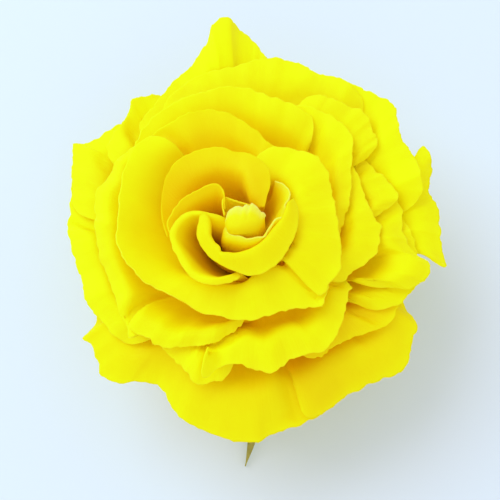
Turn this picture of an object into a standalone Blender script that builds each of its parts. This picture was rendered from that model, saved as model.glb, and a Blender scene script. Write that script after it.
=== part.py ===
"""A preserved yellow rose: one open bloom on its hip, with five sepals and a cut stub.

Metres, +Z up. The flower faces up. The origin is the middle of the stub's cut end, which
rests on the table together with the tips of the sepals.
"""
import math

import bmesh
import bpy
import numpy as np

MM = 0.001

# Driving sizes, in millimetres
STUB_RADIUS = 3.0
STUB_HEIGHT = 9.0
PIECE_GAP = 0.3
HIP_RADIUS = 7.4
HIP_TOP = 21.0
CORE_RADIUS = 8.6
CORE_TOP = 37.0
PETAL_THICKNESS = 0.8
SEPAL_THICKNESS = 0.9
HEART_COLUMNS = 9
COLUMN_LENGTH = 4.9
PETAL_ROWS = 5
NEST_CLEARANCE = 1.15
FAN_POINT_HEIGHT = 20.0
TUCK = 11.0
DEGREE_WEIGHT = 0.5

# Colours as linear values
YELLOW = (0.90, 0.78, 0.02, 1.0)
OLIVE = (0.20, 0.19, 0.03, 1.0)
STEM_GREEN = (0.16, 0.17, 0.05, 1.0)

# The heart: each petal is a loft through four lines, root, waist, crest and margin, each a
# list of plan points (x, y) with a height. Root lines are arcs: (from, to) in degrees, reach,
# height.
HEART = [
    {
        "name": "bud_core",
        "root": ((100, 190), 2.4, 30),
        "waist": ([(1.4, 3.2), (-0.8, 3.6), (-3.0, 3.6), (-4.2, 2.6), (-4.4, 1.0)], 46),
        "crest": ([(1.2, 3.4), (-0.8, 3.8), (-2.8, 4.0), (-4.2, 3.4), (-4.6, 1.4)], 52),
        "margin": ([(1.3, 4.2), (-0.6, 4.8), (-2.8, 5.5), (-4.8, 6.1), (-5.2, 4.0), (-4.9, 1.8)], 55.5),
    },
    {
        "name": "bud_hood",
        "root": ((200, 340), 2.4, 30),
        "waist": ([(-4.0, -0.6), (-3.0, -3.4), (0.0, -4.6), (3.2, -3.8), (4.7, -0.6)], 47),
        "crest": ([(-4.3, -0.4, 56.6), (-3.4, -2.2, 58.6), (-0.4, -2.4, 59.8), (2.6, -1.6, 59.6),
                   (4.6, 0.2, 58.4)], 59.5),
        "margin": ([(-3.9, 1.1, 56.6), (-3.2, 2.3, 57.6), (-1.6, 3.1, 58.3), (-0.4, 2.7, 58.6),
                    (0.3, 3.2, 58.8), (1.1, 2.8, 58.8), (1.7, 3.5, 58.8), (2.9, 2.7, 58.6),
                    (3.8, 1.6, 58.3), (4.2, 1.7, 58.2), (4.9, 0.9, 57.8)], 58.5),
    },
    {
        "name": "bud_wrap",
        "root": ((190, 415), 3.4, 30),
        "waist": ([(-4.6, -0.5), (-5.4, -3.3), (-3.8, -5.7), (-0.4, -6.4), (2.8, -5.8),
                   (4.6, -3.6), (5.0, -0.6), (5.0, 3.0), (4.8, 6.4)], 45),
        "crest": ([(-4.1, 0.0, 55.0), (-4.7, -2.0, 55.2), (-4.3, -4.2, 56.0), (-1.8, -5.3, 56.8),
                   (0.9, -5.7, 57.0), (3.4, -5.2, 56.6), (5.2, -3.8, 56.2), (6.0, -1.8, 54.0),
                   (6.4, 0.8, 51.5), (6.8, 4.2, 50.5), (6.6, 8.2, 50.0)], 56),
        "margin": ([(-3.8, 0.3, 56.2), (-4.1, -1.6, 56.6), (-3.3, -3.4, 57.4), (-1.0, -4.1, 58.2),
                    (0.8, -4.8, 58.4), (3.1, -4.3, 58.4), (4.7, -4.1, 58.2), (5.4, -2.9, 58.2),
                    (6.4, -1.4, 58.4), (7.2, -0.2, 58.4), (8.6, 0.5, 58.0), (9.4, 1.9, 57.4),
                    (9.4, 3.9, 56.8), (10.3, 5.6, 56.0), (10.5, 7.6, 55.4), (9.2, 9.6, 55.0),
                    (7.2, 10.6, 54.6)], 58),
    },
    {
        "name": "heart_right",
        "root": ((165, 385), 4.2, 29),
        "waist": ([(-8.0, 0.4), (-8.2, -3.6), (-6.4, -6.9), (-3.2, -8.8), (0.2, -8.9),
                   (4.0, -7.6), (7.2, -4.4), (8.9, -0.4), (9.4, 3.6)], 44),
        "crest": ([(-9.0, 1.6, 57.4), (-8.3, -0.2, 57.8), (-8.2, -2.1), (-8.1, -3.7), (-7.0, -5.7),
                   (-5.8, -6.8), (-5.4, -8.0), (-3.6, -8.3), (-2.0, -8.4), (0.1, -7.9), (2.4, -6.9),
                   (4.7, -5.1), (6.6, -2.8), (8.2, -0.7), (9.3, 1.2), (10.2, 4.2)], 58.3),
        "margin": ([(-10.0, 1.6, 57.2), (-10.5, -0.4, 57.0), (-11.0, -2.8), (-10.4, -5.0),
                    (-8.6, -8.0), (-6.2, -10.0), (-3.3, -11.3), (-1.5, -12.2), (1.3, -13.0),
                    (4.7, -12.2), (8.2, -9.4), (10.9, -4.9), (12.3, -0.9), (12.4, 2.6),
                    (11.2, 5.4)], 56.6),
    },
    {
        "name": "heart_left",
        "root": ((150, 290), 4.8, 29),
        "waist": ([(-3.6, -3.0), (-6.2, -2.0), (-9.0, -0.4), (-10.8, -0.4), (-11.4, -2.8),
                   (-10.8, -5.6), (-9.0, -8.4), (-5.8, -10.6), (-2.0, -11.6), (2.0, -11.8)], 46),
        "crest": ([(-3.4, -0.6, 53.6), (-6.0, 0.4, 55.8), (-9.2, 1.2), (-12.1, 1.2), (-14.1, 0.0),
                   (-15.5, -1.9), (-16.0, -4.0), (-15.2, -6.4), (-13.6, -9.1), (-11.9, -12.0),
                   (-9.3, -13.6), (-6.7, -14.0), (-3.6, -12.9, 56.0), (-1.4, -11.6, 54.5)], 57.3),
        "margin": ([(-3.8, 0.8, 55.0), (-6.2, 1.5, 56.6), (-9.3, 2.1), (-12.5, 2.3), (-14.6, 1.1),
                    (-16.4, -1.2), (-17.1, -3.7), (-16.4, -6.6), (-14.8, -9.6), (-12.9, -12.8),
                    (-9.6, -14.8), (-6.8, -15.3), (-3.2, -14.4, 56.0), (-0.8, -12.8, 55.0)], 57),
    },
    {
        "name": "heart_upper_left",
        "root": ((115, 190), 4.8, 29),
        "waist": ([(-4.3, 3.0), (-5.2, 4.6), (-7.2, 5.0), (-9.6, 4.2), (-11.4, 2.6),
                   (-12.4, 0.2), (-12.6, -2.4)], 46),
        "crest": ([(-4.6, 3.4, 53.0), (-4.9, 6.0), (-6.2, 7.3), (-8.6, 6.6), (-11.2, 5.0),
                   (-13.4, 3.0), (-15.2, 0.6), (-15.6, -2.2)], 54.5),
        "margin": ([(-4.7, 3.2, 55.0), (-4.8, 6.4), (-5.8, 8.8), (-7.5, 9.2), (-9.8, 8.2),
                    (-12.4, 6.8), (-14.8, 4.9), (-16.8, 2.2), (-17.8, -0.4), (-17.2, -2.8)], 56.5),
    },
    {
        "name": "heart_top",
        "root": ((35, 200), 4.6, 29),
        "waist": ([(2.6, 3.4), (2.2, 6.0), (0.8, 8.4), (-1.8, 9.6), (-4.8, 9.8), (-8.2, 9.2),
                   (-11.4, 7.6), (-13.4, 5.0), (-14.4, 2.2), (-14.8, -0.8)], 44),
        "crest": ([(3.6, 3.6, 55.5), (2.0, 6.2, 56.8), (1.0, 9.2, 57.4), (0.0, 11.8, 57.0),
                   (-2.4, 13.4, 55.5), (-6.2, 14.0, 54.0), (-10.2, 13.0, 53.0),
                   (-13.4, 11.0, 51.0), (-15.8, 8.2, 48.5), (-17.0, 5.2, 46.5),
                   (-17.4, 2.6, 45.5), (-17.0, -0.4, 45.0)], 54),
        "margin": ([(4.6, 3.6, 56.0), (5.4, 6.6, 56.5), (6.0, 9.6, 56.5), (5.8, 12.2, 56.5),
                    (4.0, 15.0, 56.0), (0.2, 17.2, 56.0), (-2.2, 17.2, 56.0), (-5.3, 18.4, 56.0),
                    (-9.2, 18.4, 55.5), (-12.5, 17.6, 55.0), (-15.6, 16.2, 54.0),
                    (-17.9, 14.0, 52.5), (-19.3, 11.2, 50.5), (-19.9, 8.2, 49.0),
                    (-19.9, 5.0, 48.0), (-19.5, 2.0, 47.0), (-18.6, -0.8, 46.5)], 56),
    },
]

# The rows round the heart, from the inside out. A margin is a list of (azimuth, reach) read
# round the flower's axis, at one height or with a height of its own as a third number. The
# crest lies "band" inside the margin and "lip" above it, and "waist" gives one reach or more
# and then the height half way down. Several values stand evenly along the petal, from its
# first end to its last. "ends" says how each side margin falls: over how many degrees, to
# what share.
# "tucks" carries an end on under its neighbour, and "lean" turns the petal's inner part at
# each end by so many degrees, so that the tip there hooks.
ROWS = [
    {
        "name": "ring_right", "height": 51.5, "waist": (11.6, 11.8, 13, 42.5),
        "band": (12, 10.2, 8.2), "lip": (3.2, 1.5, -1), "ends": ((2, 0.92), (20, 0.72)),
        "tucks": (0, 4),
        "margin": [(-45, 23.4), (-40, 24.4), (-33, 23.9), (-25, 24.4), (-19, 23.8), (-11, 23.2),
                   (-3, 22.2), (8, 21.9), (18, 22.3), (27, 23), (36, 24.3), (46, 24.6), (58, 23.4),
                   (72, 21.2), (84, 19.6)],
    },
    {
        "name": "ring_left", "height": 50.5, "waist": (18.5, 18, 14.5, 12.5, 11.8, 41),
        "band": (4.5, 8, 6.2, 9.8, 13), "lip": (0, -6, -1, 2.5, 3.4), "ends": ((10, 0.7), (9, 0.7)),
        "tucks": (8, 11),
        "margin": [(134, 33), (140, 33.6), (149, 33), (158, 31.8), (168, 30.6), (177, 30), (186, 30.2),
                   (193, 29.6), (200, 28.2), (207, 26.9), (214, 25.3), (222, 23.6), (231, 22.8),
                   (243, 22.5), (256, 21.9), (273, 22.1), (287, 21.6), (298, 22.1), (307, 23.9),
                   (313, 25.6), (322, 24)],
    },
    {
        "name": "ring_top", "height": 51, "waist": (17, 41),
        "band": (5.5, 5, 8), "lip": (-2.5, -1.5, -1.5), "ends": ((12, 0.8), (9, 0.8)),
        "tucks": (11, 8),
        "margin": [(60, 19.8), (72, 21.1), (79, 23.4), (84, 25), (91, 27.2), (99, 29.9), (110, 32),
                   (122, 32.3), (129, 32), (136, 31.4), (143, 30.4), (150, 29), (158, 27.4)],
    },
    {
        "name": "middle_top", "height": 47.5, "waist": (22, 36.25),
        "band": (6, 6), "lip": (-2, -2), "ends": ((7, 0.7), (12, 0.75)),
        "margin": [(66, 34.8), (73, 35.4), (80, 35.8), (90, 37.6), (99, 38.2), (108, 38), (116, 37.8),
                   (124, 37.6), (135, 36.2), (143, 34.2)],
    },
    {
        "name": "middle_upper_right", "height": 47, "waist": (20.2, 37),
        "band": (2.5, 8), "lip": (0.5, -1.5), "ends": ((3, 0.9), (6, 0.7)),
        "tucks": (4, 11),
        "margin": [(4, 23.4, 45), (12, 24.9, 46), (18, 26.5), (25, 28.7), (32, 30.4), (39, 34),
                   (44, 36.5), (49, 37), (54, 37), (60, 36.6), (66, 36), (72, 34.8)],
    },
    {
        "name": "middle_right", "height": 46, "waist": (19.8, 36.5),
        "band": (6, 8.2), "lip": (2, 0), "ends": ((6, 0.75), (6, 0.75)),
        "tucks": (5, 8),
        "margin": [(-25.5, 26.2), (-20.5, 27), (-12.5, 30.4), (-6.5, 32.2), (-0.5, 32.5), (4, 33),
                   (7.5, 31.6), (11.5, 30.8), (16.5, 30.7), (23.5, 31), (30.5, 31.5)],
    },
    {
        "name": "middle_lower_left", "height": 45.5, "waist": (20.2, 19, 35.75),
        "band": (4.2, 2.6), "lip": (1.2, 0.6), "ends": ((3, 0.85), (8, 0.8)),
        "tucks": (3, 4),
        "margin": [(-140.5, 35.5), (-136.5, 34.9), (-131.5, 33.7), (-127.5, 33.8), (-123.5, 33),
                   (-117.5, 30.6), (-111.5, 28.9), (-104, 26.7), (-97, 24.1), (-89, 21.3)],
    },
    {
        "name": "middle_bottom", "height": 45, "waist": (19.6, 36),
        "band": (8, 7, 4.5), "lip": (2.5, 1.5, 0), "ends": ((2, 0.9), (3, 0.8)),
        "tucks": (0, 0),
        "margin": [(-107, 36.4, 47), (-104.5, 35.3, 45.5), (-102, 33.2, 44.5), (-98, 31.8),
                   (-92, 31.4), (-87, 32.4), (-79, 33.9), (-71, 32.2), (-63, 32.4), (-58, 33.8),
                   (-53, 33.4), (-45, 31.6), (-37, 30, 46), (-30, 27.8, 47), (-25, 25.6, 47.5)],
    },
    {
        "name": "middle_bottom_left", "height": 43, "waist": (20.4, 34.25),
        "band": (6, 8), "lip": (2, 2), "ends": ((4, 0.8), (6, 0.7)),
        "tucks": (4, 8),
        "margin": [(-129.5, 32.1), (-125.5, 33.2), (-119.5, 34.2), (-112.5, 35.4), (-108.5, 37.2),
                   (-105, 36.8), (-101, 35.4)],
    },
    {
        "name": "middle_left", "height": 44.5, "waist": (21.5, 36.25),
        "band": (4, 3.2), "lip": (2.5, 2.5), "ends": ((6, 0.75), (3, 0.85)),
        "tucks": (8, 1),
        "margin": [(141, 35.6), (148, 36.8), (155, 36.6), (162, 37.9), (168, 37.6), (173, 36.4),
                   (182, 35.7), (189, 35.3), (195, 34.6), (201, 34.1), (208, 34), (214, 34.4),
                   (219, 35), (223, 36.3)],
    },
    {
        "name": "outer_upper_right", "height": 44, "waist": (23.6, 34),
        "band": (7, 7), "lip": (0, 0), "ends": ((3, 0.8), (7, 0.7)),
        "tucks": (2, 11),
        "margin": [(35.5, 40.3), (38.5, 41.8), (41.5, 42.2), (44.5, 43.6), (48.5, 44.1), (53, 42.9),
                   (60, 41.8)],
    },
    {
        "name": "outer_right_tip", "height": 43, "waist": (23, 34.5),
        "band": (5.5, 6), "lip": (1.5, 0), "ends": ((4, 0.8), (8, 0.7)),
        "tucks": (3, 8),
        "margin": [(11, 33.8), (13, 36.8), (16, 39), (20, 38.6), (25, 37.6), (30, 36.2), (36, 35)],
    },
    {
        "name": "outer_right_fold", "height": 42, "waist": (23.2, 33.5),
        "band": (6, 5), "lip": (2.5, 1.5), "ends": ((4, 0.8), (6, 0.75)),
        "tucks": (2, 8),
        "margin": [(-20.5, 36), (-19, 38.6), (-17.5, 41.4), (-15, 43.2), (-12.4, 45.1), (-9.6, 45.6),
                   (-7, 45), (-4.6, 41), (-0.5, 39), (5, 38.6), (10, 39.2), (14, 38.6), (20, 37)],
    },
    {
        "name": "outer_right_low", "height": 40, "waist": (23.4, 33),
        "band": (7, 7), "lip": (2, 1.5), "ends": ((5, 0.8), (8, 0.7)),
        "tucks": (4, 11),
        "margin": [(-27, 37.6), (-24, 39.8), (-21.5, 41.2), (-17, 42.6), (-14.5, 43.5), (-12, 44.2),
                   (-8, 44), (-5, 42.6), (0, 41.6), (6, 40)],
    },
    {
        "name": "outer_lower_right", "height": 40, "waist": (23.4, 32.5),
        "band": (7.5, 7.5), "lip": (2, 2), "ends": ((9, 0.7), (9, 0.7)),
        "margin": [(-57, 33.8), (-53, 33.8), (-48, 34), (-43, 35), (-37, 37.8), (-33, 39.1), (-30, 40),
                   (-25, 39.8), (-21.5, 39.4), (-17, 39.6), (-11, 40)],
    },
    {
        "name": "outer_top", "height": 43.5, "waist": (25, 33.75),
        "band": (9, 9), "lip": (-0.5, -0.5), "ends": ((7, 0.7), (10, 0.75)),
        "margin": [(55.5, 47.9), (61.5, 48.3), (68, 47.1), (74, 48.3), (83, 48.1), (93, 45.5),
                   (104, 44.3), (114, 42.7)],
    },
    {
        "name": "outer_top_right", "height": 42.5, "waist": (25.2, 32.5),
        "band": (6.5, 6.5), "lip": (0, 0), "ends": ((7, 0.7), (6, 0.7)),
        "margin": [(21.5, 46.7), (26.5, 47.2), (30.5, 47.3), (33.5, 47.3), (36.5, 48), (39.5, 49.8),
                   (43.5, 51.6), (49, 50.4), (55, 49.2), (61, 48.4), (66, 46.5)],
    },
    {
        "name": "top_tip", "height": 41.5, "waist": (26, 32.25),
        "band": (10, 10), "lip": (0.5, 0.5), "ends": ((6, 0.7), (6, 0.7)),
        "margin": [(76, 45.7, 40), (82, 48.6, 39), (86, 52.8, 38.6), (89, 55.9, 39), (92, 58.1, 40.5),
                   (94, 59.4, 43), (96, 59.5, 43.3), (98, 57.8, 43), (101, 53, 42.5), (104, 50.5),
                   (107, 48.3), (111, 46.5), (117.5, 44.1), (124.5, 42)],
    },
    {
        "name": "outer_top_left", "height": 42, "waist": (25.4, 32.25),
        "band": (9, 9), "lip": (2, 2), "ends": ((8, 0.75), (7, 0.7)),
        "margin": [(108.5, 41.9), (115.5, 42.7), (121.5, 44.6), (127.5, 46.6), (131.5, 44),
                   (140.5, 42.9)],
    },
    {
        "name": "guard_left_top", "height": 39, "waist": (25.6, 31.5),
        "band": (9, 9), "lip": (3, 3), "ends": ((7, 0.75), (7, 0.7)),
        "margin": [(128, 42.8), (134, 44.2), (140, 45.6), (145, 47.2), (147, 48.5), (149, 50.8),
                   (152, 49.4), (156.5, 47.6), (161.5, 45.5)],
    },
    {
        "name": "guard_left", "height": 38.5, "waist": (25.4, 31.25),
        "band": (6, 6), "lip": (3.5, 3.5), "ends": ((8, 0.75), (9, 0.7)),
        "margin": [(151.5, 45.9), (157.5, 46.2), (163.5, 45.2), (169.5, 44), (175, 44.1), (178.5, 43),
                   (186, 42), (193, 41.2), (200, 41), (205.5, 40.6), (211.5, 39.6), (217.5, 38.9)],
    },
    {
        "name": "guard_lower_right", "height": 33.5, "waist": (25.4, 30),
        "band": (9.5, 9.5), "lip": (3.5, 3.5), "ends": ((2, 0.95), (7, 0.7)),
        "tucks": (0, 11),
        "margin": [(-71.5, 44.8), (-68, 45.4), (-63, 45), (-56, 44.6), (-50, 45.4), (-46, 46.4),
                   (-42, 48), (-40.5, 49), (-35, 49.2), (-32, 48), (-28, 46.8), (-26, 46.9),
                   (-24, 45.6), (-22, 43.6), (-19, 41.4), (-14.5, 39.5)],
    },
    {
        "name": "guard_bottom", "height": 34, "waist": (24.9, 30.75),
        "band": (10.5, 11.5), "lip": (4, 5), "ends": ((3, 0.85), (8, 0.75)),
        "tucks": (2, 11),
        "margin": [(-157, 38.2), (-154, 40.6), (-151.5, 43.4), (-149.8, 45.9), (-147.5, 44.8),
                   (-144, 45), (-141, 46), (-137.5, 47.6), (-131.5, 45.4), (-127.5, 42.3),
                   (-122.5, 40.7), (-117.5, 41.2), (-113, 43.5), (-108, 45.6), (-101.5, 46.5),
                   (-95, 47.7), (-87, 48.3), (-80.5, 46.6), (-71, 45.2), (-61, 44)],
    },
    {
        "name": "guard_right", "height": 36, "waist": (25.8, 29.5),
        "band": (7, 7), "lip": (2.5, 1.5), "ends": ((2, 0.9), (2, 0.95)),
        "tucks": (0, 0), "lean": (4, -4),
        "margin": [(-7.8, 50.4), (-5, 49.9), (1.4, 48.9), (6.7, 49.4), (10.5, 49.5), (14.3, 48.7),
                   (17.7, 48.8), (22.3, 51.3), (26, 52.4), (29, 52.9), (31, 52.9)],
    },
]

# The sepals: (azimuth, reach of the tip, half width, height of the middle of the arch, how far
# the middle sways aside). The first is the long one whose tip shows below the bloom.
SEPALS = [
    (-90.0, 51.0, 4.2, 13.5, 4.2),
    (-14.0, 33.0, 4.4, 12.5, -3.0),
    (58.0, 36.0, 4.2, 13.0, 2.2),
    (131.0, 31.0, 4.6, 12.0, -2.0),
    (203.0, 34.0, 4.3, 12.8, 2.6),
]


def clear_scene():
    for item in list(bpy.data.objects):
        bpy.data.objects.remove(item, do_unlink=True)


def new_collection(name):
    group = bpy.data.collections.new(name)
    bpy.context.scene.collection.children.link(group)
    return group


def principled(name, colour, roughness):
    material = bpy.data.materials.new(name)
    material.use_nodes = True
    shader = material.node_tree.nodes["Principled BSDF"]
    shader.inputs["Base Color"].default_value = colour
    shader.inputs["Roughness"].default_value = roughness
    shader.inputs["Metallic"].default_value = 0.0
    return material


def smooth_line(points, places):
    """Points at the given shares of the length of a smooth line through a list of points."""
    points = np.asarray(points, float)
    padded = np.vstack([2 * points[0] - points[1], points, 2 * points[-1] - points[-2]])
    steps = np.sqrt(np.linalg.norm(np.diff(padded, axis=0), axis=1)) + 1e-9
    knots = np.concatenate([[0.0], np.cumsum(steps)])
    lengths = np.linalg.norm(np.diff(points, axis=0), axis=1)
    shares = np.concatenate([[0.0], np.cumsum(lengths)]) / lengths.sum()
    result = []
    for place in places:
        span = int(np.clip(np.searchsorted(shares, place, side="right") - 1, 0, len(points) - 2))
        part = (place - shares[span]) / (shares[span + 1] - shares[span])
        p = padded[span:span + 4]
        t = knots[span:span + 4]
        at = t[1] + part * (t[2] - t[1])
        a1 = p[0] * (t[1] - at) / (t[1] - t[0]) + p[1] * (at - t[0]) / (t[1] - t[0])
        a2 = p[1] * (t[2] - at) / (t[2] - t[1]) + p[2] * (at - t[1]) / (t[2] - t[1])
        a3 = p[2] * (t[3] - at) / (t[3] - t[2]) + p[3] * (at - t[2]) / (t[3] - t[2])
        b1 = a1 * (t[2] - at) / (t[2] - t[0]) + a2 * (at - t[0]) / (t[2] - t[0])
        b2 = a2 * (t[3] - at) / (t[3] - t[1]) + a3 * (at - t[1]) / (t[3] - t[1])
        result.append(b1 * (t[2] - at) / (t[2] - t[1]) + b2 * (at - t[1]) / (t[2] - t[1]))
    return np.array(result)


def row_shares(rows):
    """Rows lie closer together towards the margin, where a petal bends most."""
    return 1.0 - (1.0 - np.linspace(0.0, 1.0, rows + 1)) ** 1.35


def column_shares(stations, columns):
    """Columns lie evenly along a margin, but one of them goes through its furthest point."""
    lengths = np.linalg.norm(np.diff(stations, axis=0), axis=1)
    shares = np.concatenate([[0.0], np.cumsum(lengths)]) / lengths.sum()
    peak = shares[np.argmax(stations[:, 1])]
    places = np.linspace(0.0, 1.0, columns + 1)
    nearest = int(np.clip(np.argmin(np.abs(places - peak)), 1, columns - 1))
    places[nearest] = peak
    return places


def heart_petal(petal, columns, rows):
    """Grid of points of one heart petal, by column then by row."""
    across = np.linspace(0.0, 1.0, columns + 1)
    (start, stop), reach, height = petal["root"]
    angles = np.radians(np.linspace(start, stop, columns + 1))
    lines = [np.column_stack([reach * np.cos(angles), reach * np.sin(angles),
                              np.full(columns + 1, float(height))])]
    for key in ("waist", "crest", "margin"):
        plan, height = petal[key]
        spots = [(p[0], p[1], p[2] if len(p) > 2 else height) for p in plan]
        lines.append(smooth_line(spots, across))
    lines = np.array(lines)
    return np.array([smooth_line(lines[:, column], row_shares(rows))
                     for column in range(columns + 1)])


def polar(reach, turn):
    return reach * math.cos(turn), reach * math.sin(turn)


def columns_for(petal):
    """Number of columns that suits the length of a petal's margin."""
    spots = np.array([polar(station[1], math.radians(station[0])) for station in petal["margin"]])
    length = np.linalg.norm(np.diff(spots, axis=0), axis=1).sum()
    return int(min(22, max(5, round(length / COLUMN_LENGTH))))


def spread(values, places):
    """Values given evenly from a petal's first end to its last, read at places between."""
    return np.interp(places, np.linspace(0.0, 1.0, len(values)), values)


def row_petal(petal, columns, rows):
    """Grid of points of one petal of the rows round the heart."""
    stations = [(p[0], p[1], p[2] if len(p) > 2 else petal["height"]) for p in petal["margin"]]
    tuck_first, tuck_last = petal.get("tucks", (TUCK, TUCK))
    if tuck_first:
        azimuth, reach, height = stations[0]
        stations.insert(0, (azimuth - tuck_first, reach * 0.96, height - 1.5))
    if tuck_last:
        azimuth, reach, height = stations[-1]
        stations.append((azimuth + tuck_last, reach * 0.96, height - 1.5))
    stations = np.array(stations, float)
    stations[:, 0] *= DEGREE_WEIGHT
    line = smooth_line(stations, column_shares(stations, columns))
    azimuths = line[:, 0] / DEGREE_WEIGHT
    (fall_first, share_first), (fall_last, share_last) = petal["ends"]
    lean_first, lean_last = petal.get("lean", (0, 0))
    places = (azimuths - azimuths[0]) / (azimuths[-1] - azimuths[0])
    *waist_reaches, waist_height = petal["waist"]
    waists = spread(waist_reaches, places)
    bands = spread(petal["band"], places)
    lips = spread(petal["lip"], places)
    profiles = zip(azimuths, places, line, waists, bands, lips)
    grid = []
    for azimuth, place, (_, reach, height), waist, band, lip in profiles:
        from_first = (azimuth - azimuths[0]) / fall_first
        from_last = (azimuths[-1] - azimuth) / fall_last
        share = 1.0
        if from_first < 1.0:
            share = min(share, share_first + (1 - share_first) * math.sqrt(1 - (1 - from_first) ** 2))
        if from_last < 1.0:
            share = min(share, share_last + (1 - share_last) * math.sqrt(1 - (1 - from_last) ** 2))
        outer = math.radians(azimuth)
        inner = outer + math.radians(lean_first * (1 - place) ** 2 + lean_last * place ** 2)
        guide = [(*polar(5.6, inner), 26.0), (*polar(waist, inner), waist_height),
                 (*polar(reach - band, inner), height + lip),
                 (*polar(reach, outer), height)]
        grid.append(smooth_line(guide, row_shares(rows) * share))
    return np.array(grid)


class Nest:
    """Keeps each petal outside and below the petals within it.

    Around the axis and by distance from the fan point, it holds the lowest elevation that the
    petals placed so far leave free.
    """

    TURNS = 180
    STEPS = 90

    def __init__(self):
        self.lowest = np.full((self.TURNS, self.STEPS), 2.0)

    def fan(self, points):
        x, y, z = points[..., 0], points[..., 1], points[..., 2] - FAN_POINT_HEIGHT
        reach = np.hypot(x, y)
        return np.degrees(np.arctan2(y, x)) % 360.0, np.hypot(reach, z), np.arctan2(z, reach)

    def add(self, grid):
        fine = refine(refine(refine(grid)))
        turn, distance, rise = self.fan(fine)
        columns = (turn * self.TURNS / 360.0).astype(int) % self.TURNS
        steps = np.clip(distance.astype(int), 0, self.STEPS - 1)
        np.minimum.at(self.lowest, (columns, steps), rise)

    def settle(self, grid):
        turn, distance, rise = self.fan(grid)
        steps = np.clip(distance.astype(int), 0, self.STEPS - 1)
        limit = np.full(rise.shape, 2.0)
        for side in (-2, -1, 0, 1, 2):
            columns = ((turn * self.TURNS / 360.0).astype(int) + side) % self.TURNS
            for further in (-1, 0, 1):
                near = np.clip(steps + further, 0, self.STEPS - 1)
                limit = np.minimum(limit, self.lowest[columns, near])
        clearance = NEST_CLEARANCE * np.clip((distance - 9.0) / 8.0, 0.0, 1.0)
        drop = np.clip(rise - (limit - clearance / np.maximum(distance, 1.0)), 0.0, None)
        for _ in range(3):
            wide = np.pad(drop, 1, mode="edge")
            mean = (wide[:-2, 1:-1] + wide[2:, 1:-1] + wide[1:-1, :-2] + wide[1:-1, 2:]) / 4
            drop = np.maximum(drop, 0.5 * drop + 0.5 * mean)
        rise = rise - drop
        reach = distance * np.cos(rise)
        turn = np.radians(turn)
        return np.stack([reach * np.cos(turn), reach * np.sin(turn),
                         FAN_POINT_HEIGHT + distance * np.sin(rise)], axis=-1)


def refine(grid):
    """Halves each cell of a grid of points."""
    columns, rows = grid.shape[0], grid.shape[1]
    fine = np.zeros((columns * 2 - 1, rows, 3))
    fine[::2] = grid
    fine[1::2] = (grid[:-1] + grid[1:]) / 2
    result = np.zeros((columns * 2 - 1, rows * 2 - 1, 3))
    result[:, ::2] = fine
    result[:, 1::2] = (fine[:, :-1] + fine[:, 1:]) / 2
    return result


def blade(name, grid, thickness, group):
    """A thin closed solid along a grid of points in millimetres."""
    columns, rows = grid.shape[0], grid.shape[1]
    shape = bmesh.new()
    bmesh.ops.create_grid(shape, x_segments=columns - 1, y_segments=rows - 1, size=0.5)
    for vertex in shape.verts:
        column = round((vertex.co.x + 0.5) * (columns - 1))
        row = round((vertex.co.y + 0.5) * (rows - 1))
        vertex.co = [float(value) * MM for value in grid[column, row]]
    bmesh.ops.triangulate(shape, faces=shape.faces[:])
    mesh = bpy.data.meshes.new(name)
    shape.to_mesh(mesh)
    shape.free()
    item = bpy.data.objects.new(name, mesh)
    group.objects.link(item)
    skin = item.modifiers.new("thickness", "SOLIDIFY")
    skin.thickness = thickness * MM
    skin.offset = 0.0
    skin.use_even_offset = False
    return item


def turned(name, profile, sides, group):
    """A solid of revolution from (reach, height) points in millimetres, from top to bottom."""
    mesh = bpy.data.meshes.new(name)
    shape = bmesh.new()
    corners = [shape.verts.new((reach * MM, 0.0, height * MM)) for reach, height in profile]
    for upper, lower in zip(corners, corners[1:]):
        shape.edges.new((upper, lower))
    shape.to_mesh(mesh)
    shape.free()
    item = bpy.data.objects.new(name, mesh)
    group.objects.link(item)
    screw = item.modifiers.new("turn", "SCREW")
    screw.steps = sides
    screw.render_steps = sides
    screw.use_merge_vertices = True
    screw.merge_threshold = 0.00001
    return item


def joined(name, first, others, group, material):
    """One closed body: the first object united with every object of a collection."""
    union = first.modifiers.new("join", "BOOLEAN")
    union.operation = "UNION"
    union.operand_type = "COLLECTION"
    union.collection = others
    union.solver = "MANIFOLD"
    bpy.context.view_layer.update()
    graph = bpy.context.evaluated_depsgraph_get()
    mesh = bpy.data.meshes.new_from_object(first.evaluated_get(graph))
    mesh.name = name
    for item in list(others.objects) + [first]:
        bpy.data.objects.remove(item, do_unlink=True)
    bpy.data.collections.remove(others)
    keep_largest_body(mesh)
    mesh.shade_smooth()
    mesh.set_sharp_from_angle(angle=math.radians(50))
    mesh.materials.clear()
    mesh.materials.append(material)
    item = bpy.data.objects.new(name, mesh)
    group.objects.link(item)
    return item


def keep_largest_body(mesh):
    """Drops loose scraps and sealed hollows, which are shells of their own."""
    shape = bmesh.new()
    shape.from_mesh(mesh)
    unseen = set(shape.faces)
    bodies = []
    while unseen:
        front = [unseen.pop()]
        body = set(front)
        while front:
            face = front.pop()
            for edge in face.edges:
                for other in edge.link_faces:
                    if other in unseen:
                        unseen.remove(other)
                        body.add(other)
                        front.append(other)
        bodies.append(body)
    bodies.sort(key=len, reverse=True)
    spare = [face for body in bodies[1:] for face in body]
    bmesh.ops.delete(shape, geom=spare, context="FACES")
    bmesh.ops.delete(shape, geom=[v for v in shape.verts if not v.link_faces], context="VERTS")
    bmesh.ops.triangulate(shape, faces=shape.faces[:])
    shape.to_mesh(mesh)
    shape.free()


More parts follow.
